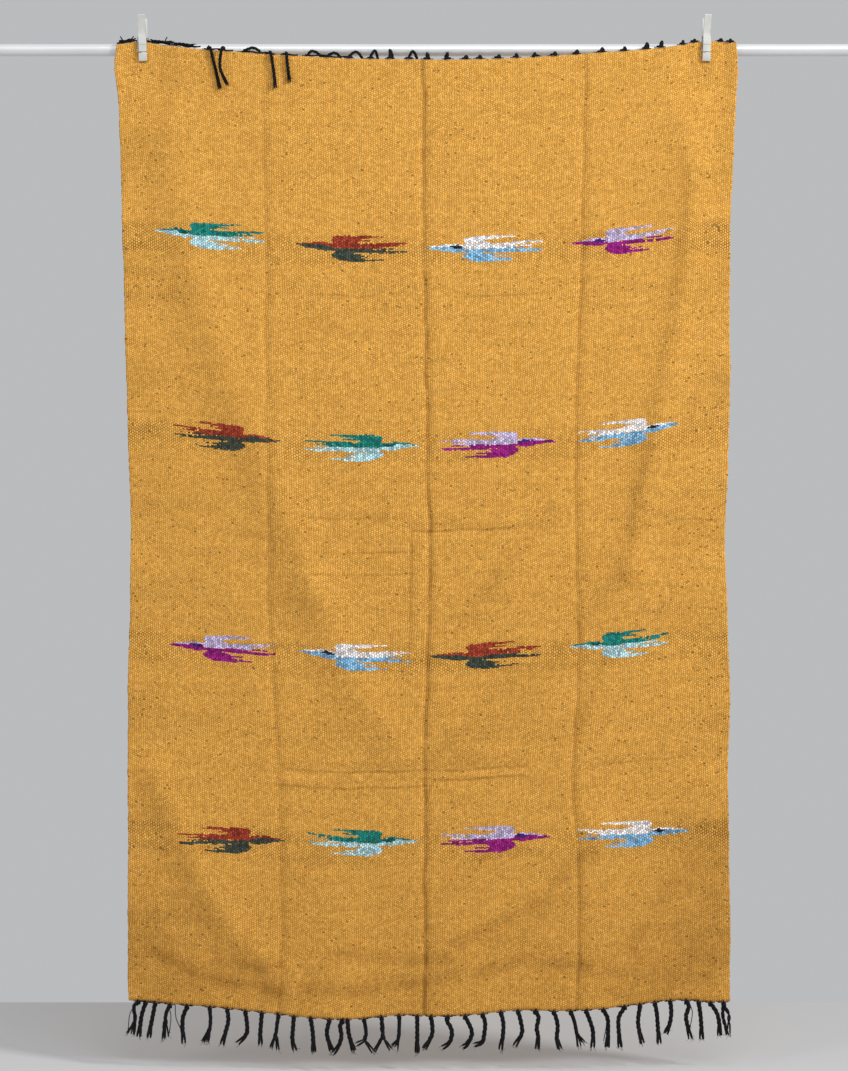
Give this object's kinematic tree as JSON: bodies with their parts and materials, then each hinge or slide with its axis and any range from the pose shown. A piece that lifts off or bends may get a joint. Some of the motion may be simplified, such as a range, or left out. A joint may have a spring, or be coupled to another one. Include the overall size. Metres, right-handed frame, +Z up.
{
  "type": "handwoven mexican blanket hung on a rod",
  "caption": "Mustard handwoven blanket with rows of woven birds and knotted black fringe, hung by spring pegs from a plain round rod.",
  "frame": {"origin": "middle of the rod's axis", "axes": "+X along the rod to the viewer's right, +Z up, +Y away from the viewer, so the blanket's face looks to -Y"},
  "size_m": [1.85, 0.085, 2.1312],
  "materials": {
    "woven_cloth": "dense weft-faced weave, mustard on black warp",
    "warp_yarn": "plied black yarn with frayed tips",
    "rod_metal": "satin",
    "peg_plastic": "moulded off-white",
    "spring_wire": "plain drawn wire"
  },
  "bodies": {
    "root": {"cloth": "woven_cloth", "fringe_bottom": "warp_yarn", "fringe_top": "warp_yarn", "rod": "rod_metal", "peg_left_front": "peg_plastic", "peg_left_back": "peg_plastic", "peg_left_spring": "spring_wire", "peg_right_front": "peg_plastic", "peg_right_back": "peg_plastic", "peg_right_spring": "spring_wire"}
  },
  "joints": []
}
